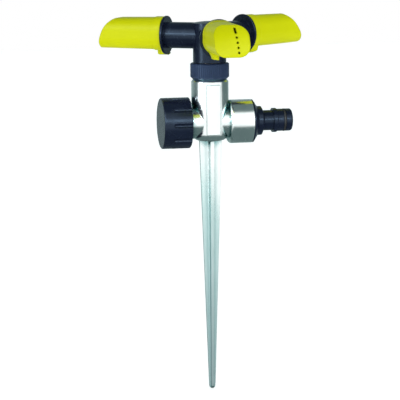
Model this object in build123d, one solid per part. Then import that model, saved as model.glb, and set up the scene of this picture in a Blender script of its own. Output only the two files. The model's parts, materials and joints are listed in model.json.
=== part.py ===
from build123d import *
import math
import os

# Three-arm rotary lawn sprinkler on a cast metal ground spike, in millimetres.
# +Z is up along the spike and the rotor's spin axis, and the ground line is z = 0.
# X runs along the level through barrel: the end cap is at -X, the hose connector at +X.

# ---------------------------------------------------------------- driving dimensions

# Casting: the level through barrel
CROSS_HEIGHT = 24.0
NECK_RADIUS = 11.3
SOCKET_WALL = 1.88
SOCKET_START = 12.4
SOCKET_END = 29.0
SOCKET_ROUNDING = 2.2
SOCKET_SEAT = 14.0
WATERWAY_RADIUS = 7.5

# Casting: the upright barrel
BARREL_RADIUS = 12.95
BARREL_RISE = 30.0
BARREL_DROP = 12.7
BARREL_FOOT_ROUNDING = 5.5
BARREL_TOP_CHAMFER = 1.3
PANEL_WIDTH = 9.4
PANEL_RAISE = 0.7
PANEL_TOP_GAP = 3.4
PANEL_BOTTOM_GAP = 5.1

# Casting: the four-ribbed spike
SPIKE_LENGTH = 166.6
SPIKE_TOP_WIDTH = 15.7
SPIKE_TIP_WIDTH = 4.2
RIB_TOP_THICKNESS = 2.6
RIB_TIP_THICKNESS = 1.7
RIB_ROOT_TOP_FILLET = 2.0
RIB_ROOT_TIP_FILLET = 0.5

# Threads, modelled as rings
HOSE_THREAD_RADIUS = 13.2
HOSE_THREAD_PITCH = 1.814
NECK_THREAD_PITCH = 1.5
THREAD_DEPTH = 0.9
THREAD_CLEARANCE = 0.12

# Upright swivel neck, and what turns in it
SWIVEL_NECK_RISE = 5.1
SWIVEL_NECK_WALL = 1.75
SLEEVE_GASKET = 0.5
SLEEVE_WALL = 1.6
SLEEVE_LENGTH = 12.0
SLEEVE_FLANGE = 1.0
SPINDLE_RADIUS = 6.6
SPINDLE_WALL = 2.0
SPINDLE_FOOT_GAP = 1.0
SPINDLE_FLANGE_CLEARANCE = 0.52
SPINDLE_FLANGE = 1.6
SPINDLE_PRESS_LENGTH = 9.0
THRUST_WASHER = 0.6
AXIAL_CLEARANCE = 0.05
RUNNING_CLEARANCE = 0.05
ORING_SECTION_RADIUS = 0.8
ORING_GROOVE_ROOM = 1.2

# Retaining nut
NUT_WALL = 2.48
NUT_GAP = 0.3
NUT_SHOULDER = 1.8
NUT_FOOT_CHAMFER = 1.6
NUT_TOP_CHAMFER = 0.6
NUT_HOLE_CLEARANCE = 0.5
KNURL_COUNT = 60
KNURL_DEPTH = 0.35

# Rotor
ROTOR_REST_ANGLE = 0.0
ARM_COUNT = 3
ARM_RISE = 60.05
ARM_RADIUS = 9.1
HUB_GAP = 0.4
HUB_OVERSIZE = 2.5
HUB_DRAFT = 0.1
HUB_CROWN_RISE = 1.0
HUB_CROWN_DOME = 1.2
HUB_CHAMBER_STEP = 1.0
HUB_ROOF = 3.6
ARM_FLANGE_STEP = 5.35
ARM_FLANGE = 1.6
ARM_FLANGE_ROUNDING = 0.4
ARM_FLANGE_FACE = 32.3
PARTING_RIB = 0.25
PARTING_RIB_WIDTH = 0.8
SPIGOT_RADIUS = 8.0
SPIGOT_WALL = 2.8
SPIGOT_LENGTH = 13.5
SNAP_BEAD = 0.5
SNAP_BEAD_INSET = 2.5

# Nozzles: the body's section is a rounded rectangle, drawn from the bore outwards
NOZZLE_TIP_REACH = 78.0
NOZZLE_FACE_GAP = 0.3
NOZZLE_COLLAR = 6.2
NOZZLE_COLLAR_SIDE = 3.2
NOZZLE_COLLAR_TOP = 4.75
NOZZLE_COLLAR_BOTTOM = 2.35
NOZZLE_COLLAR_CORNER = 9.4
NOZZLE_BASE_SIDE = 3.0
NOZZLE_BASE_TOP = 4.35
NOZZLE_BASE_BOTTOM = 1.85
NOZZLE_BASE_CORNER = 9.0
NOZZLE_TIP_SIDE = 3.7
NOZZLE_TIP_TOP = 3.65
NOZZLE_TIP_BOTTOM = 0.9
NOZZLE_TIP_CORNER = 7.4
NOZZLE_WALL = 1.6
NOZZLE_REST_TWISTS = (-8.0, -2.0, 0.0)
END_ROUND_RADIUS = 27.0
END_ROUND_REACH = 51.3
END_ROUND_DROP = 10.7
END_ROUND_SKEW = 10.0
TAB_DEPTH = 5.85
TAB_RAMP_START = 62.0
TAB_SHOULDER = 4.9
TAB_EDGE = 1.2
TAB_ROUNDING = 1.2
TAB_LIP = 1.8
TWIST_LIMIT = 45.0
STOP_PIN_RADIUS = 0.7
STOP_PIN_LENGTH = 1.4
STOP_PIN_STEP = 2.35
STOP_SLOT_CLEARANCE = 0.3
RIM_CLEARANCE = 0.3
JET_RADIUS = 0.75
JET_PITCH = 3.27
JET_COUNT = 4
JET_SLOT_LENGTH = 3.6
JET_LOWEST = 5.9
JET_OFFSET = 3.6
JET_TILT = 5.0

# End cap
CAP_WALL = 4.38
CAP_OPEN_END = 15.0
CAP_LENGTH = 19.95
CAP_FACE = 2.8
CAP_ROUNDING = 1.0
FLUTE_COUNT = 10
FLUTE_WIDTH = 3.3
FLUTE_DEPTH = 1.1
FLUTE_START = 6.5
GASKET = 2.0

# Hose connector
CONNECTOR_BORE_RADIUS = 5.0
CONNECTOR_SEAT_GAP = 0.05
CONNECTOR_FLANGE_STEP = 1.8
CONNECTOR_FLANGE_RIM = 0.8
CONNECTOR_CONE = 4.0
CONNECTOR_COLLAR_RADIUS = 10.1
CONNECTOR_COLLAR = 2.9
CONNECTOR_TAPER = 1.6
CONNECTOR_NECK_RADIUS = 7.1
CONNECTOR_NECK = 6.6
CONNECTOR_RING_RADIUS = 8.5
CONNECTOR_RING = 3.0
CONNECTOR_LAND_RADIUS = 7.8
CONNECTOR_LAND = 4.2
CONNECTOR_GROOVE = 1.9
CONNECTOR_ORING_RADIUS = 7.95
CONNECTOR_NOSE = 4.6
CONNECTOR_NOSE_ROUNDING = 1.6

# ---------------------------------------------------------------- worked-out places

SOCKET_RADIUS = HOSE_THREAD_RADIUS + THREAD_CLEARANCE + SOCKET_WALL
CAP_RADIUS = HOSE_THREAD_RADIUS + THREAD_CLEARANCE + CAP_WALL
CONNECTOR_FLANGE_RADIUS = HOSE_THREAD_RADIUS + CONNECTOR_FLANGE_STEP
SLEEVE_BORE_RADIUS = SPINDLE_RADIUS + RUNNING_CLEARANCE
SLEEVE_RADIUS = SLEEVE_BORE_RADIUS + SLEEVE_WALL
NECK_THREAD_ROOT = SLEEVE_RADIUS + SWIVEL_NECK_WALL
NECK_THREAD_RADIUS = NECK_THREAD_ROOT + THREAD_DEPTH
NUT_POCKET_RADIUS = NECK_THREAD_ROOT + THREAD_CLEARANCE
NUT_RADIUS = NECK_THREAD_RADIUS + THREAD_CLEARANCE + NUT_WALL
SPINDLE_FLANGE_RADIUS = NUT_POCKET_RADIUS - SPINDLE_FLANGE_CLEARANCE
SPINDLE_BORE_RADIUS = SPINDLE_RADIUS - SPINDLE_WALL
BARREL_TOP = CROSS_HEIGHT + BARREL_RISE
BARREL_FOOT = CROSS_HEIGHT - BARREL_DROP
NECK_TOP = BARREL_TOP + SWIVEL_NECK_RISE
SLEEVE_FLANGE_FOOT = NECK_TOP + SLEEVE_GASKET
SLEEVE_TOP = SLEEVE_FLANGE_FOOT + SLEEVE_FLANGE
LOWER_WASHER_TOP = SLEEVE_TOP + THRUST_WASHER
SPINDLE_FLANGE_FOOT = LOWER_WASHER_TOP + AXIAL_CLEARANCE
SPINDLE_FLANGE_TOP = SPINDLE_FLANGE_FOOT + SPINDLE_FLANGE
UPPER_WASHER_FOOT = SPINDLE_FLANGE_TOP + AXIAL_CLEARANCE
NUT_FOOT = BARREL_TOP + NUT_GAP
NUT_CEILING = UPPER_WASHER_FOOT + THRUST_WASHER
NUT_TOP = NUT_CEILING + NUT_SHOULDER
HUB_FOOT = NUT_TOP + HUB_GAP
ARM_HEIGHT = CROSS_HEIGHT + ARM_RISE
HUB_RADIUS = ARM_RADIUS + HUB_OVERSIZE
HUB_CHAMBER_RADIUS = SPINDLE_RADIUS + HUB_CHAMBER_STEP
HUB_TOP = ARM_HEIGHT + ARM_RADIUS + HUB_CROWN_RISE
SLEEVE_FOOT = NECK_TOP - SLEEVE_LENGTH
SPINDLE_FOOT = SLEEVE_FOOT + SPINDLE_FOOT_GAP
SPINDLE_TOP = HUB_FOOT + SPINDLE_PRESS_LENGTH
SPIGOT_END = ARM_FLANGE_FACE + SPIGOT_LENGTH
NOZZLE_BASE = ARM_FLANGE_FACE + NOZZLE_FACE_GAP
NOZZLE_BORE_RADIUS = SPIGOT_RADIUS + RUNNING_CLEARANCE
ARM_BORE_RADIUS = SPIGOT_RADIUS - SPIGOT_WALL
ARM_FLANGE_RADIUS = NOZZLE_BORE_RADIUS + ARM_FLANGE_STEP
STOP_PIN_OFFSET = NOZZLE_BORE_RADIUS + STOP_PIN_STEP
SNAP_BEAD_PLACE = SPIGOT_END - SNAP_BEAD_INSET
OUTLET_END = CAP_OPEN_END + CAP_LENGTH - CAP_FACE - GASKET
CONNECTOR_START = SOCKET_SEAT + GASKET


# ---------------------------------------------------------------- shared helpers

def turned(points, axis_plane=Plane.XZ):
    """A solid turned about the upright axis from (radius, height) points."""
    with BuildPart() as body:
        with BuildSketch(axis_plane):
            with BuildLine():
                Polyline(*points, close=True)
            make_face()
        revolve(axis=Axis.Z)
    return body.part


def disc(radius, bottom, top, bore=0.0):
    """A plain upright ring or rod between two heights."""
    return turned([(bore, bottom), (radius, bottom), (radius, top), (bore, top)])


def laid_along_x(shape):
    """Turns a shape that was made upright so that its +Z points along +X."""
    return shape.rotate(Axis.Y, 90)


def threaded_rod(crest, depth, pitch, start, end):
    """An upright rod with ring threads from start to end, first ring at start."""
    turns = max(1, int((end - start) / pitch))
    root = crest - depth
    points = [(0, start), (root, start)]
    for turn in range(turns):
        foot = start + turn * pitch
        points += [(root, foot + 0.10 * pitch), (crest, foot + 0.42 * pitch)]
        points += [(crest, foot + 0.58 * pitch), (root, foot + 0.90 * pitch)]
    points += [(root, end), (0, end)]
    return turned(points)


def oring(centre_radius, section_radius, height):
    """A torus about the upright axis."""
    return Torus(centre_radius, section_radius).moved(Location((0, 0, height)))


def oring_groove(shaft_radius, height):
    """The cutter for an O-ring's groove round an upright shaft."""
    half_width = ORING_GROOVE_ROOM * ORING_SECTION_RADIUS
    floor_radius = shaft_radius - 2 * ORING_SECTION_RADIUS
    return disc(shaft_radius + 1, height - half_width, height + half_width, bore=floor_radius)


def on_arm(shape, arm):
    """Moves a shape made along +X at height zero to one of the rotor's arms."""
    angle = 30 + ROTOR_REST_ANGLE + arm * 360 / ARM_COUNT
    return shape.moved(Location((0, 0, ARM_HEIGHT), (0, 0, angle)))


def save(shape, node):
    export_step(shape, f"parts/{node}.step")


# ---------------------------------------------------------------- the casting

def rib_cross(width, thickness, fillet_radius, height):
    """The spike's plus-shaped section, with filleted roots."""
    with BuildSketch(Plane.XY.offset(height)) as section:
        Rectangle(width, thickness)
        Rectangle(thickness, width)
        half = thickness / 2
        roots = section.vertices().filter_by(
            lambda v: abs(abs(v.X) - half) < 0.01 and abs(abs(v.Y) - half) < 0.01
        )
        fillet(roots, fillet_radius)
    return section.sketch


def spike():
    """Four tapering ribs with a rounded tip, from inside the barrel's foot down."""
    top = BARREL_FOOT + 2.0
    with BuildPart() as ribs:
        add(rib_cross(SPIKE_TOP_WIDTH, RIB_TOP_THICKNESS, RIB_ROOT_TOP_FILLET, top))
        add(rib_cross(SPIKE_TIP_WIDTH, RIB_TIP_THICKNESS, RIB_ROOT_TIP_FILLET, -SPIKE_LENGTH))
        loft()
    tip_radius = SPIKE_TIP_WIDTH / 2 + 0.1
    with BuildPart() as envelope:
        with BuildSketch(Plane.XZ):
            with BuildLine():
                Line((0, -SPIKE_LENGTH), (0, top))
                Line((0, top), (SPIKE_TOP_WIDTH, top))
                Line((SPIKE_TOP_WIDTH, top), (tip_radius, -SPIKE_LENGTH + tip_radius))
                ThreePointArc(
                    (tip_radius, -SPIKE_LENGTH + tip_radius),
                    (tip_radius * math.sin(math.pi / 4), -SPIKE_LENGTH + tip_radius * (1 - math.cos(math.pi / 4))),
                    (0, -SPIKE_LENGTH),
                )
            make_face()
        revolve(axis=Axis.Z)
    return ribs.part & envelope.part


def upright_barrel():
    """The upright barrel with its rounded foot, and the threaded neck on top."""
    barrel = disc(BARREL_RADIUS, BARREL_FOOT, BARREL_TOP)
    barrel = chamfer(barrel.edges().group_by(Axis.Z)[-1], BARREL_TOP_CHAMFER)
    barrel = fillet(barrel.edges().group_by(Axis.Z)[0], BARREL_FOOT_ROUNDING)
    neck = threaded_rod(NECK_THREAD_RADIUS, THREAD_DEPTH, NECK_THREAD_PITCH, BARREL_TOP - 0.5, NECK_TOP)
    return barrel + neck


def side_panel(side):
    """The raised flat panel on the barrel's front (-1) or back (+1)."""
    bottom = BARREL_FOOT + PANEL_BOTTOM_GAP
    top = BARREL_TOP - PANEL_TOP_GAP
    depth = BARREL_RADIUS + PANEL_RAISE
    slab = Box(PANEL_WIDTH, depth, top - bottom)
    slab = slab.moved(Location((0, side * depth / 2, (top + bottom) / 2)))
    round_back = disc(BARREL_RADIUS + PANEL_RAISE, bottom - 1, top + 1)
    return slab & round_back


def through_barrel():
    """The level barrel: threaded outlet at -X, plain necks, socket at +X."""
    neck = disc(NECK_RADIUS, -CAP_OPEN_END - 0.4, SOCKET_START + SOCKET_ROUNDING)
    outlet = threaded_rod(HOSE_THREAD_RADIUS, THREAD_DEPTH, HOSE_THREAD_PITCH, CAP_OPEN_END + 0.4, OUTLET_END)
    socket = disc(SOCKET_RADIUS, SOCKET_START, SOCKET_END)
    socket = fillet(socket.edges().group_by(Axis.Z)[0], SOCKET_ROUNDING)
    socket = chamfer(socket.edges().group_by(Axis.Z)[-1], 0.4)
    barrel = laid_along_x(neck + socket) + laid_along_x(outlet).mirror(Plane.YZ)
    return barrel.moved(Location((0, 0, CROSS_HEIGHT)))


def waterways():
    """Everything that is hollow in the casting."""
    level = disc(WATERWAY_RADIUS, -OUTLET_END - 1, SOCKET_END)
    socket_thread = threaded_rod(
        HOSE_THREAD_RADIUS + THREAD_CLEARANCE, THREAD_DEPTH, HOSE_THREAD_PITCH, SOCKET_SEAT, SOCKET_END + 1
    )
    cross = laid_along_x(level + socket_thread).moved(Location((0, 0, CROSS_HEIGHT)))
    rising = disc(WATERWAY_RADIUS, CROSS_HEIGHT, NECK_TOP + 1)
    sleeve_seat = disc(SLEEVE_RADIUS, SLEEVE_FOOT, NECK_TOP + 1)
    return cross + rising + sleeve_seat


def spike_casting():
    solid = upright_barrel() + through_barrel() + side_panel(-1) + side_panel(1) + spike()
    return solid - waterways()


# ---------------------------------------------------------------- the swivel

def bearing_sleeve():
    body = disc(SLEEVE_RADIUS, SLEEVE_FOOT, SLEEVE_TOP, bore=SLEEVE_BORE_RADIUS)
    flange = disc(SPINDLE_FLANGE_RADIUS, SLEEVE_FLANGE_FOOT, SLEEVE_TOP, bore=SLEEVE_BORE_RADIUS)
    return body + flange


def sleeve_gasket():
    """The flat seal between the neck's top and the sleeve's flange."""
    return disc(SPINDLE_FLANGE_RADIUS, NECK_TOP, SLEEVE_FLANGE_FOOT, bore=SLEEVE_RADIUS)


def thrust_washer(foot):
    return disc(SPINDLE_FLANGE_RADIUS, foot, foot + THRUST_WASHER, bore=SPINDLE_RADIUS + NUT_HOLE_CLEARANCE)


def spindle_oring_height():
    return (SLEEVE_FOOT + NECK_TOP) / 2


def rotor_spindle():
    """A hollow flanged spindle: it turns in the sleeve and is held in the hub."""
    shaft = disc(SPINDLE_RADIUS, SPINDLE_FOOT, SPINDLE_TOP)
    flange = disc(SPINDLE_FLANGE_RADIUS, SPINDLE_FLANGE_FOOT, SPINDLE_FLANGE_TOP)
    groove = oring_groove(SPINDLE_RADIUS, spindle_oring_height())
    bore = disc(SPINDLE_BORE_RADIUS, SPINDLE_FOOT - 1, SPINDLE_TOP + 1)
    return shaft + flange - groove - bore


def spindle_oring():
    centre = SPINDLE_RADIUS - ORING_SECTION_RADIUS
    return oring(centre, ORING_SECTION_RADIUS, spindle_oring_height())


def retaining_nut():
    """A knurled ring nut whose inner shoulder keeps the spindle's flange down."""
    outer = disc(NUT_RADIUS, NUT_FOOT, NUT_TOP)
    outer = chamfer(outer.edges().group_by(Axis.Z)[0], NUT_FOOT_CHAMFER)
    outer = chamfer(outer.edges().group_by(Axis.Z)[-1], NUT_TOP_CHAMFER)
    thread = threaded_rod(
        NECK_THREAD_RADIUS + THREAD_CLEARANCE, THREAD_DEPTH, NECK_THREAD_PITCH, BARREL_TOP - 0.5, NECK_TOP
    )
    pocket = disc(NUT_POCKET_RADIUS, NECK_TOP, NUT_CEILING)
    hole = disc(SPINDLE_RADIUS + NUT_HOLE_CLEARANCE, NUT_CEILING, NUT_TOP + 1)
    groove_radius = math.pi * NUT_RADIUS / KNURL_COUNT * 0.5
    grooves = Sketch() + [
        loc * Circle(groove_radius)
        for loc in PolarLocations(NUT_RADIUS + groove_radius - KNURL_DEPTH, KNURL_COUNT)
    ]
    start = NUT_FOOT + NUT_FOOT_CHAMFER * 0.6
    length = NUT_TOP - NUT_TOP_CHAMFER - start
    knurl = extrude(Plane.XY.offset(start) * grooves, length)
    return outer - thread - pocket - hole - knurl


# ---------------------------------------------------------------- the rotor

def hub_shell():
    """The hub's outside: a slightly drafted post with a shallow domed crown."""
    dome_foot = HUB_TOP - HUB_CROWN_DOME
    dome_radius = (HUB_RADIUS**2 + HUB_CROWN_DOME**2) / (2 * HUB_CROWN_DOME)
    half_way = HUB_RADIUS / 2
    half_way_height = HUB_TOP - dome_radius + math.sqrt(dome_radius**2 - half_way**2)
    with BuildPart() as hub:
        with BuildSketch(Plane.XZ):
            with BuildLine():
                Polyline((0, HUB_TOP), (0, HUB_FOOT), (HUB_RADIUS - HUB_DRAFT, HUB_FOOT), (HUB_RADIUS, dome_foot))
                ThreePointArc((HUB_RADIUS, dome_foot), (half_way, half_way_height), (0, HUB_TOP))
            make_face()
        revolve(axis=Axis.Z)
    return hub.part


def clear_of_neighbours(radius):
    """How far out an arm's cylinder starts, so that it stays clear of the other two."""
    return radius / math.tan(math.pi / ARM_COUNT) + 0.3


def arm_outside():
    """One arm along +X: tube, flange, spigot with its snap bead, and parting rib."""
    start = clear_of_neighbours(ARM_RADIUS)
    tube = disc(ARM_RADIUS, start, ARM_FLANGE_FACE)
    flange = disc(ARM_FLANGE_RADIUS, ARM_FLANGE_FACE - ARM_FLANGE, ARM_FLANGE_FACE)
    flange = fillet(flange.edges().filter_by(GeomType.CIRCLE), ARM_FLANGE_ROUNDING)
    spigot = turned([
        (0, ARM_FLANGE_FACE - 1),
        (SPIGOT_RADIUS, ARM_FLANGE_FACE - 1),
        (SPIGOT_RADIUS, SNAP_BEAD_PLACE - SNAP_BEAD),
        (SPIGOT_RADIUS + SNAP_BEAD, SNAP_BEAD_PLACE),
        (SPIGOT_RADIUS, SNAP_BEAD_PLACE + 2 * SNAP_BEAD),
        (SPIGOT_RADIUS - 0.5, SPIGOT_END),
        (0, SPIGOT_END),
    ])
    rib_length = ARM_FLANGE_FACE - 1 - HUB_CHAMBER_RADIUS
    rib = Box(rib_length, 2 * (ARM_RADIUS + PARTING_RIB), PARTING_RIB_WIDTH)
    rib = rib.moved(Location((HUB_CHAMBER_RADIUS + rib_length / 2, 0, 0)))
    stop_pin = Cylinder(STOP_PIN_RADIUS, STOP_PIN_LENGTH + 1).rotate(Axis.Y, 90)
    stop_pin = stop_pin.moved(Location((ARM_FLANGE_FACE + (STOP_PIN_LENGTH - 1) / 2, 0, STOP_PIN_OFFSET)))
    return laid_along_x(tube + flange + spigot) + rib + stop_pin


def arm_hollow():
    """The water passage in one arm, and the O-ring groove on its spigot."""
    bore = disc(ARM_BORE_RADIUS, clear_of_neighbours(ARM_BORE_RADIUS), SPIGOT_END + 1)
    return laid_along_x(bore + oring_groove(SPIGOT_RADIUS, nozzle_oring_place()))


def nozzle_oring_place():
    return ARM_FLANGE_FACE + SPIGOT_LENGTH * 0.4


def rotor():
    body = hub_shell()
    for arm in range(ARM_COUNT):
        body += on_arm(arm_outside(), arm)
    spindle_seat = disc(SPINDLE_RADIUS, HUB_FOOT - 1, SPINDLE_TOP)
    chamber = disc(HUB_CHAMBER_RADIUS, SPINDLE_TOP, HUB_TOP - HUB_ROOF)
    body = body - spindle_seat - chamber
    for arm in range(ARM_COUNT):
        body -= on_arm(arm_hollow(), arm)
    return body


def nozzle_oring():
    centre = SPIGOT_RADIUS - ORING_SECTION_RADIUS
    return laid_along_x(oring(centre, ORING_SECTION_RADIUS, nozzle_oring_place()))


# ---------------------------------------------------------------- the nozzles

def nozzle_section(place, side, top, bottom, corner):
    """A rounded rectangle across the arm axis, given by its walls round the bore."""
    half_width = NOZZLE_BORE_RADIUS + side
    height = 2 * NOZZLE_BORE_RADIUS + top + bottom
    section_plane = Plane((place, 0, (top - bottom) / 2), x_dir=(0, 1, 0), z_dir=(1, 0, 0))
    return section_plane * RectangleRounded(2 * half_width, height, corner)


def nozzle_body(shrink, start):
    """The nozzle's tapering body, or with shrink its hollow, before its end is rounded off."""
    base = nozzle_section(
        start,
        NOZZLE_BASE_SIDE - shrink,
        NOZZLE_BASE_TOP - shrink,
        NOZZLE_BASE_BOTTOM - shrink,
        NOZZLE_BASE_CORNER - shrink,
    )
    tip = nozzle_section(
        NOZZLE_TIP_REACH - shrink,
        NOZZLE_TIP_SIDE - shrink,
        NOZZLE_TIP_TOP - shrink,
        NOZZLE_TIP_BOTTOM - shrink,
        NOZZLE_TIP_CORNER - shrink,
    )
    return loft([base, tip]) - end_rounding(shrink)


def end_rounding(shrink):
    """What the long round sweep takes off the nozzle's upper end, rolled by its skew."""
    size = 60
    block = Box(size, size, size, align=(Align.MIN, Align.CENTER, Align.MIN))
    barrel = Cylinder(END_ROUND_RADIUS - shrink, size).rotate(Axis.X, 90)
    sweep = (block - barrel).moved(Location((END_ROUND_REACH, 0, -END_ROUND_DROP)))
    return sweep.rotate(Axis.X, END_ROUND_SKEW)


def collar():
    """The slightly larger ring at the nozzle's open end."""
    section = nozzle_section(
        NOZZLE_BASE, NOZZLE_COLLAR_SIDE, NOZZLE_COLLAR_TOP, NOZZLE_COLLAR_BOTTOM, NOZZLE_COLLAR_CORNER
    )
    return extrude(section, NOZZLE_COLLAR)


def finger_tab():
    """A ramp-shaped lobe under the collar, which also laps over the flange's rim."""
    crest = NOZZLE_BORE_RADIUS + TAB_DEPTH
    ramp = math.radians(TAB_RAMP_START)
    ramp_radius = NOZZLE_BORE_RADIUS + NOZZLE_COLLAR_SIDE - 1
    start = NOZZLE_BASE - NOZZLE_FACE_GAP - TAB_LIP
    end = NOZZLE_BASE + NOZZLE_COLLAR
    lobe_plane = Plane((start, 0, 0), x_dir=(0, 1, 0), z_dir=(1, 0, 0))
    with BuildPart() as lobe:
        with BuildSketch(lobe_plane) as outline:
            with BuildLine():
                Polyline(
                    (0, 0),
                    (-ramp_radius * math.sin(ramp), -ramp_radius * math.cos(ramp)),
                    (-TAB_SHOULDER, TAB_ROUNDING / 2 - crest),
                    (-TAB_EDGE, -crest),
                    (-TAB_EDGE, -NOZZLE_BORE_RADIUS),
                    close=True,
                )
            make_face()
            shoulder = outline.vertices().sort_by_distance((start, -TAB_SHOULDER, -crest))[0]
            fillet(shoulder, TAB_ROUNDING)
        extrude(amount=end - start)
        outer_edges = lobe.faces().sort_by(Axis.X)[-1].edges()
        low_edges = outer_edges.filter_by(lambda e: e.center().Z < 1.5 - crest)
        fillet(low_edges, TAB_ROUNDING)
    lip_room = disc(ARM_FLANGE_RADIUS + RIM_CLEARANCE, start - 1, NOZZLE_BASE)
    bore_room = disc(NOZZLE_BORE_RADIUS, start - 1, end + 1)
    return lobe.part - laid_along_x(lip_room + bore_room)


def stop_slot():
    """The curved slot in the collar's face that limits the twist."""
    reach = STOP_PIN_RADIUS + STOP_SLOT_CLEARANCE
    spread = math.radians(TWIST_LIMIT) + reach / STOP_PIN_OFFSET
    depth = STOP_PIN_LENGTH + STOP_SLOT_CLEARANCE
    ring = disc(STOP_PIN_OFFSET + reach, NOZZLE_BASE - 1, NOZZLE_BASE + depth, bore=STOP_PIN_OFFSET - reach)
    far = 3 * STOP_PIN_OFFSET
    wedge_plane = Plane((NOZZLE_BASE - 2, 0, 0), x_dir=(0, 1, 0), z_dir=(1, 0, 0))
    with BuildPart() as wedge:
        with BuildSketch(wedge_plane):
            with BuildLine():
                Polyline(
                    (0, 0),
                    (far * math.sin(spread), far * math.cos(spread)),
                    (0, far * 1.5),
                    (-far * math.sin(spread), far * math.cos(spread)),
                    close=True,
                )
            make_face()
        extrude(amount=depth + 4)
    return laid_along_x(ring) & wedge.part


def jets():
    """The slot and the row of round jets through the end wall."""
    drill = Cylinder(JET_RADIUS, 16).rotate(Axis.Y, 90)
    cutters = []
    for hole in range(JET_COUNT):
        cutters.append(drill.moved(Location((NOZZLE_TIP_REACH - 3, 0, hole * JET_PITCH - JET_LOWEST))))
    slot_foot = JET_COUNT * JET_PITCH - JET_LOWEST - JET_RADIUS
    slot = Box(20, 2 * JET_RADIUS, JET_SLOT_LENGTH)
    cutters.append(slot.moved(Location((NOZZLE_TIP_REACH - 6, 0, slot_foot + JET_SLOT_LENGTH / 2))))
    row = (Part() + cutters).rotate(Axis.X, JET_TILT)
    return row.moved(Location((0, JET_OFFSET, 0)))


def nozzle(rest_twist):
    """A hollow shell with a rounded-off end that snaps over the spigot and twists on it."""
    shell = nozzle_body(0, NOZZLE_BASE + 1) + collar() + finger_tab()
    chamber_room = Box(100, 60, 60, align=(Align.MIN, Align.CENTER, Align.CENTER))
    chamber_room = chamber_room.moved(Location((SPIGOT_END + STOP_SLOT_CLEARANCE, 0, 0)))
    chamber = nozzle_body(NOZZLE_WALL, NOZZLE_BASE + 1) & chamber_room
    bead_room = NOZZLE_BORE_RADIUS + SNAP_BEAD + 0.1
    bore = turned([
        (0, NOZZLE_BASE - 1),
        (NOZZLE_BORE_RADIUS, NOZZLE_BASE - 1),
        (NOZZLE_BORE_RADIUS, SNAP_BEAD_PLACE - 3 * SNAP_BEAD),
        (bead_room, SNAP_BEAD_PLACE - SNAP_BEAD),
        (bead_room, SNAP_BEAD_PLACE + SNAP_BEAD),
        (NOZZLE_BORE_RADIUS, SNAP_BEAD_PLACE + 4 * SNAP_BEAD),
        (NOZZLE_BORE_RADIUS, SPIGOT_END + 1),
        (0, SPIGOT_END + 1),
    ])
    solid = shell - chamber - laid_along_x(bore) - stop_slot() - jets()
    return solid.rotate(Axis.X, rest_twist)


# ---------------------------------------------------------------- the end cap

def end_cap():
    """A fluted screw cap, made upright and then laid along -X."""
    outer_face = CAP_OPEN_END + CAP_LENGTH
    shell = disc(CAP_RADIUS, CAP_OPEN_END, outer_face)
    shell = fillet(shell.edges().group_by(Axis.Z)[-1], CAP_ROUNDING)
    shell = chamfer(shell.edges().group_by(Axis.Z)[0], 0.4)
    bore = disc(HOSE_THREAD_RADIUS + THREAD_CLEARANCE, CAP_OPEN_END - 1, outer_face - CAP_FACE)
    flute_length = outer_face - FLUTE_START - CAP_OPEN_END
    flute_centre = CAP_OPEN_END + flute_length / 2 - FLUTE_WIDTH / 2
    cutters = []
    for flute in range(FLUTE_COUNT):
        rod = Cylinder(FLUTE_WIDTH / 2, flute_length + FLUTE_WIDTH)
        rod = fillet(rod.edges().group_by(Axis.Z)[-1], FLUTE_WIDTH * 0.45)
        centre_radius = CAP_RADIUS + FLUTE_WIDTH / 2 - FLUTE_DEPTH
        rod = rod.moved(Location((centre_radius, 0, flute_centre)))
        cutters.append(rod.rotate(Axis.Z, (flute + 0.5) * 360 / FLUTE_COUNT))
    cap = shell - bore - cutters
    return laid_along_x(cap).mirror(Plane.YZ).moved(Location((0, 0, CROSS_HEIGHT)))


def end_cap_gasket():
    ring = disc(HOSE_THREAD_RADIUS - THREAD_DEPTH, OUTLET_END, OUTLET_END + GASKET, bore=WATERWAY_RADIUS)
    return laid_along_x(ring).mirror(Plane.YZ).moved(Location((0, 0, CROSS_HEIGHT)))


# ---------------------------------------------------------------- the hose connector

def connector_places():
    """Distances along +X where the connector's outline steps."""
    flange = SOCKET_END + CONNECTOR_SEAT_GAP
    cone_end = flange + CONNECTOR_CONE
    collar_end = cone_end + CONNECTOR_COLLAR
    neck_start = collar_end + CONNECTOR_TAPER
    ring_start = neck_start + CONNECTOR_NECK
    land_start = ring_start + CONNECTOR_RING
    groove_start = land_start + CONNECTOR_LAND
    nose_start = groove_start + CONNECTOR_GROOVE
    return flange, cone_end, collar_end, neck_start, ring_start, land_start, groove_start, nose_start


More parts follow.
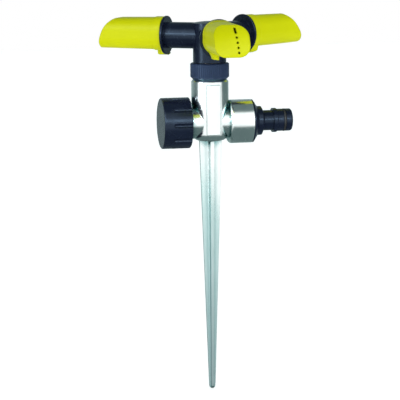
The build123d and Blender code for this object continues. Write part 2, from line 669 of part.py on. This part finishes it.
def hose_connector():
    flange, cone_end, collar_end, neck_start, ring_start, land_start, groove_start, nose_start = connector_places()
    tip = nose_start + CONNECTOR_NOSE
    groove_floor = CONNECTOR_ORING_RADIUS - CONNECTOR_GROOVE
    outline = turned([
        (0, flange),
        (CONNECTOR_FLANGE_RADIUS, flange),
        (CONNECTOR_FLANGE_RADIUS, flange + CONNECTOR_FLANGE_RIM),
        (CONNECTOR_COLLAR_RADIUS + 0.1, cone_end),
        (CONNECTOR_COLLAR_RADIUS, collar_end),
        (CONNECTOR_NECK_RADIUS, neck_start),
        (CONNECTOR_NECK_RADIUS, ring_start),
        (CONNECTOR_RING_RADIUS, ring_start),
        (CONNECTOR_RING_RADIUS, land_start - 0.5),
        (CONNECTOR_LAND_RADIUS, land_start),
        (CONNECTOR_LAND_RADIUS, groove_start),
        (groove_floor, groove_start),
        (groove_floor, nose_start),
        (CONNECTOR_LAND_RADIUS, nose_start),
        (CONNECTOR_LAND_RADIUS, tip),
        (0, tip),
    ])
    outline = fillet(outline.edges().group_by(Axis.Z)[-1], CONNECTOR_NOSE_ROUNDING)
    shank = threaded_rod(HOSE_THREAD_RADIUS, THREAD_DEPTH, HOSE_THREAD_PITCH, SOCKET_SEAT, flange + 0.5)
    below_shank = disc(HOSE_THREAD_RADIUS + 1, SOCKET_SEAT - 1, CONNECTOR_START)
    bore = disc(CONNECTOR_BORE_RADIUS, SOCKET_SEAT - 1, tip + 1)
    wide_entry = disc(WATERWAY_RADIUS, SOCKET_SEAT - 1, flange)
    body = outline + (shank - below_shank) - bore - wide_entry
    return laid_along_x(body).moved(Location((0, 0, CROSS_HEIGHT)))


def connector_gasket():
    ring = disc(HOSE_THREAD_RADIUS - THREAD_DEPTH, SOCKET_SEAT, CONNECTOR_START, bore=WATERWAY_RADIUS)
    return laid_along_x(ring).moved(Location((0, 0, CROSS_HEIGHT)))


def connector_oring():
    groove_start = connector_places()[6]
    section = CONNECTOR_GROOVE / 2 - 0.05
    centre = CONNECTOR_ORING_RADIUS - section
    ring = oring(centre, section, groove_start + CONNECTOR_GROOVE / 2)
    return laid_along_x(ring).moved(Location((0, 0, CROSS_HEIGHT)))


# ---------------------------------------------------------------- write every node

os.makedirs("parts", exist_ok=True)
save(spike_casting(), "spike_casting")
save(bearing_sleeve(), "bearing_sleeve")
save(sleeve_gasket(), "sleeve_gasket")
save(thrust_washer(SLEEVE_TOP), "lower_thrust_washer")
save(thrust_washer(UPPER_WASHER_FOOT), "upper_thrust_washer")
save(retaining_nut(), "retaining_nut")
save(rotor_spindle(), "rotor_spindle")
save(spindle_oring(), "spindle_oring")
save(rotor(), "rotor")
save(end_cap(), "end_cap")
save(end_cap_gasket(), "end_cap_gasket")
save(hose_connector(), "hose_connector")
save(connector_gasket(), "connector_gasket")
save(connector_oring(), "connector_oring")
for arm in range(ARM_COUNT):
    save(on_arm(nozzle(NOZZLE_REST_TWISTS[arm]), arm), f"nozzle_{arm + 1}")
    save(on_arm(nozzle_oring(), arm), f"nozzle_oring_{arm + 1}")
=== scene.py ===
import json
import math

import bpy
from mathutils import Matrix, Vector


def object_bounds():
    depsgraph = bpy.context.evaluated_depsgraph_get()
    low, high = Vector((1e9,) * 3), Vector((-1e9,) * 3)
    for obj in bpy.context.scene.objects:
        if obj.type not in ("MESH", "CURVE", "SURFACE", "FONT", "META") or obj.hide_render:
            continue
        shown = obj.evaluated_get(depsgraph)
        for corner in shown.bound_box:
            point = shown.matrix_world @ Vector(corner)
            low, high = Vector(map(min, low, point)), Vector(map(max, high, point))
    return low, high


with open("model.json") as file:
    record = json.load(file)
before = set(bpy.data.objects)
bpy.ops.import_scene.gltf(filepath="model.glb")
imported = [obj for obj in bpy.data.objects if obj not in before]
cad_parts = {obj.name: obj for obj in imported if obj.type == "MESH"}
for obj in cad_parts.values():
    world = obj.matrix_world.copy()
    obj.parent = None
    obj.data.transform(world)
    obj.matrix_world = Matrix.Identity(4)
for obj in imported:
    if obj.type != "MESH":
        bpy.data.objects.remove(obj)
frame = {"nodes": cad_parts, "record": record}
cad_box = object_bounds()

# Three-arm rotary lawn sprinkler on a cast metal ground spike. Lengths are in metres, except the camera's
# lens and sensor, which are in millimetres.

# Camera: a long lens a little above the object and to its left
CAMERA_DISTANCE = 1.3156
CAMERA_AZIMUTH = 11.069
CAMERA_ELEVATION = 9.244
CAMERA_ROLL = 0.531
CAMERA_LENS = 169.14
CAMERA_SENSOR = 36.0
CAMERA_AIM = (-0.0077, 0.0, -0.0307)

# Surroundings, which light the object and show in its gloss. Directions are in degrees, counted sideways
# from straight in front and upwards from level.
SURROUND = (0.13, 0.19, 0.19)
BACK_WALL = (0.33, 0.43, 0.43)
BACK_WALL_AZIMUTH = (110, 160)
BACK_WALL_HEIGHT = (15, 50)
SOFTBOX_AZIMUTH = (-88, 65)
SOFTBOX_HEIGHT = (-21, 51)
SOFTBOX_EDGE = 6
SOFTBOX_BRIGHTNESS = 1.15
LAMP_DISTANCE = 1.5
COOL_WHITE = (0.80, 0.91, 1.0)
FLOOR_DROP = 0.002
FLOOR_COLOR = (0.88, 0.88, 0.88)
FLOOR_GLOW = 0.62
FLOOR_SIZE = 6.0

# Finish of the casting: polished above the ground line, satin on the spike and darker towards its tip,
# with painted shade in the corners
POLISHED_LIGHT = (0.86, 0.88, 0.87)
POLISHED_DARK = (0.78, 0.81, 0.80)
SPIKE_TOP = 0.0
SPIKE_TIP = -0.160
SATIN_LIGHT = (0.62, 0.745, 0.73)
SATIN_DARK = (0.50, 0.645, 0.625)
# Colour of the spike towards its tip, darker than the satin above
SATIN_TOWARD_TIP = (0.33, 0.42, 0.425)
SATIN_FADE = 0.045
SATIN_LEAN = 2.5
# Painted shade for corners and creases: its dark teal colour and how far from a neighbouring surface it
# reaches
CORNER_SHADE_COLOR = (0.16, 0.33, 0.33)
CORNER_SHADE_REACH = 0.006

# Gloss of the plastics
BLACK_GLOSS_TINT = (0.58, 0.78, 1.0, 1.0)
BLACK_GLOSS = 0.34
YELLOW_GLOSS = 0.09


# ---------------------------------------------------------------- node helpers

class Nodes:
    """A short way to add and link shader nodes."""

    def __init__(self, tree):
        self.tree = tree
        tree.nodes.clear()

    def add(self, kind, **settings):
        node = self.tree.nodes.new(kind)
        for key, value in settings.items():
            setattr(node, key, value)
        return node

    def link(self, source, target):
        self.tree.links.new(source, target)

    def math(self, operation, first, second=None, third=None, clamp=False):
        node = self.add("ShaderNodeMath", operation=operation, use_clamp=clamp)
        for slot, value in enumerate((first, second, third)):
            if value is None:
                continue
            if isinstance(value, (int, float)):
                node.inputs[slot].default_value = value
            else:
                self.link(value, node.inputs[slot])
        return node.outputs[0]

    def smooth(self, value, low, high, start=0.0, end=1.0):
        """value mapped smoothly from low..high to start..end."""
        node = self.add("ShaderNodeMapRange", interpolation_type="SMOOTHSTEP")
        self.link(value, node.inputs["Value"])
        for name, number in (("From Min", low), ("From Max", high), ("To Min", start), ("To Max", end)):
            node.inputs[name].default_value = number
        return node.outputs["Result"]

    def mix(self, factor, first, second, blend="MIX"):
        """A colour mix; first and second are colours or outputs."""
        node = self.add("ShaderNodeMix", data_type="RGBA", blend_type=blend)
        for socket, value in ((node.inputs[0], factor), (node.inputs[6], first), (node.inputs[7], second)):
            if isinstance(value, (int, float)):
                socket.default_value = value
            elif isinstance(value, tuple):
                socket.default_value = (*value, 1.0)
            else:
                self.link(value, socket)
        return node.outputs[2]

    def stretch(self, vector, factors):
        node = self.add("ShaderNodeVectorMath", operation="MULTIPLY")
        self.link(vector, node.inputs[0])
        node.inputs[1].default_value = factors
        return node.outputs[0]

    def noise(self, vector, scale, detail=3.0, roughness=0.5):
        node = self.add("ShaderNodeTexNoise")
        node.inputs["Scale"].default_value = scale
        node.inputs["Detail"].default_value = detail
        node.inputs["Roughness"].default_value = roughness
        self.link(vector, node.inputs["Vector"])
        return node.outputs["Fac"]

    def bump(self, height, strength, distance, normal=None):
        node = self.add("ShaderNodeBump")
        node.inputs["Strength"].default_value = strength
        node.inputs["Distance"].default_value = distance
        self.link(height, node.inputs["Height"])
        if normal is not None:
            self.link(normal, node.inputs["Normal"])
        return node.outputs["Normal"]


def new_material(name):
    material = bpy.data.materials.new(name)
    material.use_nodes = True
    nodes = Nodes(material.node_tree)
    shader = nodes.add("ShaderNodeBsdfPrincipled")
    output = nodes.add("ShaderNodeOutputMaterial")
    nodes.link(shader.outputs[0], output.inputs[0])
    place = nodes.add("ShaderNodeTexCoord").outputs["Object"]
    return material, nodes, shader, place


def soft_edges(nodes, radius):
    """A normal that rounds every hard edge by a small radius."""
    bevel = nodes.add("ShaderNodeBevel", samples=4)
    bevel.inputs["Radius"].default_value = radius
    return bevel.outputs["Normal"]


# ---------------------------------------------------------------- materials

def cast_zinc():
    """Bright cast zinc: polished and slightly wavy, satin on the spike, darker towards the tip, with painted
    shade in corners.
    """
    material, nodes, shader, place = new_material("cast_zinc_chromed")
    shader.inputs["Metallic"].default_value = 1.0
    cloud = nodes.noise(place, 60.0, 4.0)
    polished = nodes.mix(nodes.smooth(cloud, 0.35, 0.7), POLISHED_DARK, POLISHED_LIGHT)
    parts = nodes.add("ShaderNodeSeparateXYZ")
    nodes.link(place, parts.inputs[0])
    up = parts.outputs[2]
    streak = nodes.noise(nodes.stretch(place, (1.0, 1.0, 0.06)), 700.0, 3.0)
    satin = nodes.mix(nodes.smooth(streak, 0.3, 0.7), SATIN_DARK, SATIN_LIGHT)
    # The spike's colour gets darker towards its tip
    toward_tip = nodes.mix(nodes.smooth(up, SPIKE_TIP, SPIKE_TOP), SATIN_TOWARD_TIP, satin)
    leaning = nodes.math("MULTIPLY_ADD", parts.outputs[0], SATIN_LEAN, up)
    on_spike = nodes.smooth(leaning, SPIKE_TOP - SATIN_FADE, SPIKE_TOP, 1.0, 0.0)
    tint = nodes.mix(on_spike, polished, toward_tip)
    # Painted shade: the base colour turns dark teal in corners and creases, where ambient occlusion finds
    # nearby surfaces
    corner = nodes.add("ShaderNodeAmbientOcclusion", samples=8)
    corner.inputs["Distance"].default_value = CORNER_SHADE_REACH
    shade = nodes.smooth(corner.outputs["AO"], 0.40, 0.95, 1.0, 0.0)
    nodes.link(nodes.mix(shade, tint, CORNER_SHADE_COLOR), shader.inputs["Base Color"])
    marks = nodes.noise(place, 420.0, 5.0, 0.65)
    rough = nodes.math("MULTIPLY_ADD", nodes.smooth(marks, 0.45, 0.8), 0.10, 0.20)
    nodes.link(nodes.math("MULTIPLY_ADD", on_spike, 0.08, rough), shader.inputs["Roughness"])
    waves = nodes.noise(place, 130.0, 2.0)
    normal = nodes.bump(waves, 0.10, 0.0006, soft_edges(nodes, 0.0004))
    pits = nodes.noise(place, 2200.0, 2.0)
    nodes.link(nodes.bump(pits, 0.05, 0.0001, normal), shader.inputs["Normal"])
    return material


def moulded_plastic(name, light, dark, roughness, grain, edge):
    """Injection-moulded plastic: faint flow marks, fine grain and soft edges."""
    material, nodes, shader, place = new_material(name)
    flow = nodes.noise(place, 35.0, 3.0)
    nodes.link(nodes.mix(nodes.smooth(flow, 0.3, 0.7), dark, light), shader.inputs["Base Color"])
    wear = nodes.noise(place, 260.0, 5.0, 0.6)
    rough = nodes.math("MULTIPLY_ADD", nodes.smooth(wear, 0.4, 0.75), 0.12, roughness)
    nodes.link(rough, shader.inputs["Roughness"])
    fine = nodes.noise(place, 3000.0, 2.0)
    normal = nodes.bump(fine, grain, 0.00008, soft_edges(nodes, edge))
    sink = nodes.noise(place, 90.0, 1.0)
    nodes.link(nodes.bump(sink, 0.08, 0.0004, normal), shader.inputs["Normal"])
    return material, shader


def black_plastic():
    material, shader = moulded_plastic(
        "black_plastic", light=(0.0085, 0.012, 0.029), dark=(0.0055, 0.008, 0.020),
        roughness=0.20, grain=0.10, edge=0.00025,
    )
    shader.inputs["Specular Tint"].default_value = BLACK_GLOSS_TINT
    shader.inputs["Specular IOR Level"].default_value = BLACK_GLOSS
    return material


def slate_plastic():
    """The nut's duller, bluer moulding."""
    material, shader = moulded_plastic(
        "slate_plastic", light=(0.022, 0.038, 0.094), dark=(0.014, 0.025, 0.064),
        roughness=0.34, grain=0.16, edge=0.00012,
    )
    shader.inputs["Specular Tint"].default_value = BLACK_GLOSS_TINT
    shader.inputs["Specular IOR Level"].default_value = BLACK_GLOSS
    return material


def yellow_plastic():
    material, shader = moulded_plastic(
        "yellow_plastic", light=(0.64, 0.665, 0.0015), dark=(0.60, 0.622, 0.0012),
        roughness=0.34, grain=0.16, edge=0.0014,
    )
    shader.inputs["Specular IOR Level"].default_value = YELLOW_GLOSS
    shader.inputs["Subsurface Weight"].default_value = 0.06
    shader.inputs["Subsurface Radius"].default_value = (1.0, 0.9, 0.1)
    shader.inputs["Subsurface Scale"].default_value = 0.002
    return material


def brass():
    """Turned brass: fine rings round the spindle's axis and a dull patina."""
    material, nodes, shader, place = new_material("turned_brass")
    shader.inputs["Metallic"].default_value = 1.0
    patina = nodes.smooth(nodes.noise(place, 180.0, 4.0), 0.4, 0.75)
    nodes.link(nodes.mix(patina, (0.78, 0.58, 0.26), (0.52, 0.37, 0.17)), shader.inputs["Base Color"])
    nodes.link(nodes.math("MULTIPLY_ADD", patina, 0.18, 0.22), shader.inputs["Roughness"])
    rings = nodes.add("ShaderNodeTexWave", bands_direction="Z")
    rings.inputs["Scale"].default_value = 900.0
    nodes.link(place, rings.inputs["Vector"])
    nodes.link(nodes.bump(rings.outputs["Fac"], 0.12, 0.00004), shader.inputs["Normal"])
    return material


def white_bearing_plastic():
    material, _ = moulded_plastic(
        "white_bearing_plastic", light=(0.82, 0.82, 0.79), dark=(0.74, 0.74, 0.70),
        roughness=0.42, grain=0.12, edge=0.0002,
    )
    return material


def seal_rubber():
    material, _ = moulded_plastic(
        "seal_rubber", light=(0.020, 0.020, 0.021), dark=(0.012, 0.012, 0.013),
        roughness=0.58, grain=0.30, edge=0.0001,
    )
    return material


MAKERS = {
    "cast_zinc": cast_zinc,
    "black_plastic": black_plastic,
    "yellow_plastic": yellow_plastic,
    "brass": brass,
    "white_bearing_plastic": white_bearing_plastic,
    "seal_rubber": seal_rubber,
}


def dress_cad_nodes():
    """Gives each CAD node the finish of its slot in the record; the nut has a duller one of its own."""
    finishes = {slot: maker() for slot, maker in MAKERS.items()}
    for entry in frame["record"]["subparts"]:
        mesh = frame["nodes"][entry["node"]].data
        mesh.materials.clear()
        mesh.materials.append(finishes[entry["material_slot"]])
    frame["nodes"]["retaining_nut"].data.materials[0] = slate_plastic()


# ---------------------------------------------------------------- studio

def studio_world():
    """White to the camera; otherwise a dim room with a wide front softbox and a paler back wall."""
    world = bpy.data.worlds.new("studio")
    bpy.context.scene.world = world
    world.use_nodes = True
    nodes = Nodes(world.node_tree)
    direction = nodes.add("ShaderNodeTexCoord").outputs["Generated"]
    parts = nodes.add("ShaderNodeSeparateXYZ")
    nodes.link(direction, parts.inputs[0])
    across, along, up = parts.outputs
    azimuth = nodes.math("ARCTAN2", across, nodes.math("MULTIPLY", along, -1.0))
    height = nodes.math("ARCSINE", up)

    mask = None
    for value, (low, high) in ((azimuth, SOFTBOX_AZIMUTH), (height, SOFTBOX_HEIGHT)):
        low, high, edge = map(math.radians, (low, high, SOFTBOX_EDGE))
        rise = nodes.smooth(value, low - edge, low + edge)
        fall = nodes.smooth(value, high - edge, high + edge, 1.0, 0.0)
        band = nodes.math("MULTIPLY", rise, fall)
        mask = band if mask is None else nodes.math("MULTIPLY", mask, band)
    softbox = nodes.math("MULTIPLY", mask, SOFTBOX_BRIGHTNESS)
    behind = nodes.smooth(nodes.math("ABSOLUTE", azimuth), *map(math.radians, BACK_WALL_AZIMUTH))
    low_down = nodes.smooth(nodes.math("ABSOLUTE", height), *map(math.radians, BACK_WALL_HEIGHT), 1.0, 0.0)
    surround = nodes.mix(nodes.math("MULTIPLY", behind, low_down), SURROUND, BACK_WALL)
    lit = nodes.add("ShaderNodeCombineColor")
    for channel in range(3):
        nodes.link(softbox, lit.inputs[channel])
    scene_light = nodes.mix(1.0, surround, lit.outputs[0], "ADD")
    to_camera = nodes.add("ShaderNodeLightPath").outputs["Is Camera Ray"]
    shown = nodes.mix(to_camera, scene_light, (1.0, 1.0, 1.0))
    background = nodes.add("ShaderNodeBackground")
    nodes.link(shown, background.inputs["Color"])
    output = nodes.add("ShaderNodeOutputWorld")
    nodes.link(background.outputs[0], output.inputs[0])


def area_light(name, place, aim, size, energy, color=(1.0, 1.0, 1.0), gloss_only=False):
    light = bpy.data.lights.new(name, "AREA")
    light.shape = "RECTANGLE"
    light.size, light.size_y = size
    light.energy = energy
    light.color = color
    lamp = bpy.data.objects.new(name, light)
    lamp.location = place
    lamp.rotation_euler = (aim - Vector(place)).to_track_quat("-Z", "Y").to_euler()
    lamp.visible_diffuse = not gloss_only
    bpy.context.scene.collection.objects.link(lamp)


def around(middle, azimuth, elevation):
    """A place LAMP_DISTANCE from the middle, at degrees sideways from straight in front and upwards."""
    turn, rise = math.radians(azimuth), math.radians(elevation)
    away = Vector((math.sin(turn) * math.cos(rise), -math.cos(turn) * math.cos(rise), math.sin(rise)))
    return middle + away * LAMP_DISTANCE


def pale_floor(height):
    """A floor that glows slightly, to be white in the picture, and doesn't show in gloss."""
    mesh = bpy.data.meshes.new("floor")
    half = FLOOR_SIZE / 2
    corners = [(-half, -half, height), (half, -half, height), (half, half, height), (-half, half, height)]
    mesh.from_pydata(corners, [], [(0, 1, 2, 3)])
    floor = bpy.data.objects.new("floor", mesh)
    bpy.context.scene.collection.objects.link(floor)
    material, _, shader, _ = new_material("pale_floor")
    shader.inputs["Base Color"].default_value = (*FLOOR_COLOR, 1.0)
    shader.inputs["Roughness"].default_value = 0.9
    shader.inputs["Emission Color"].default_value = (1.0, 1.0, 1.0, 1.0)
    shader.inputs["Emission Strength"].default_value = FLOOR_GLOW
    mesh.materials.append(material)
    floor.visible_glossy = False


def main_camera(aim):
    """Looks at aim from CAMERA_AZIMUTH to the left of straight in front."""
    azimuth = math.radians(CAMERA_AZIMUTH)
    elevation = math.radians(CAMERA_ELEVATION)
    back = Vector((
        -math.sin(azimuth) * math.cos(elevation),
        -math.cos(azimuth) * math.cos(elevation),
        math.sin(elevation),
    ))
    data = bpy.data.cameras.new("main_camera")
    data.lens = CAMERA_LENS
    data.sensor_width = CAMERA_SENSOR
    camera = bpy.data.objects.new("main_camera", data)
    turn = (-back).to_track_quat("-Z", "Y").to_matrix().to_4x4()
    roll = Matrix.Rotation(math.radians(-CAMERA_ROLL), 4, "Z")
    camera.matrix_world = Matrix.Translation(aim + back * CAMERA_DISTANCE) @ turn @ roll
    bpy.context.scene.collection.objects.link(camera)
    bpy.context.scene.camera = camera


def build_studio():
    low, high = cad_box
    middle = (low + high) / 2
    studio_world()
    pale_floor(low.z - FLOOR_DROP)
    area_light("key", (-0.3, -1.5, 1.1), middle, (0.9, 0.9), 3.0)
    area_light("strip", around(middle, -23, 22), middle, (3.8, 0.28), 24.0, COOL_WHITE, gloss_only=True)
    area_light("window", around(middle, -71, 20), middle, (0.45, 1.1), 15.0, COOL_WHITE, gloss_only=True)
    main_camera(Vector(CAMERA_AIM))
    bpy.context.scene.view_settings.view_transform = "Standard"


dress_cad_nodes()
build_studio()
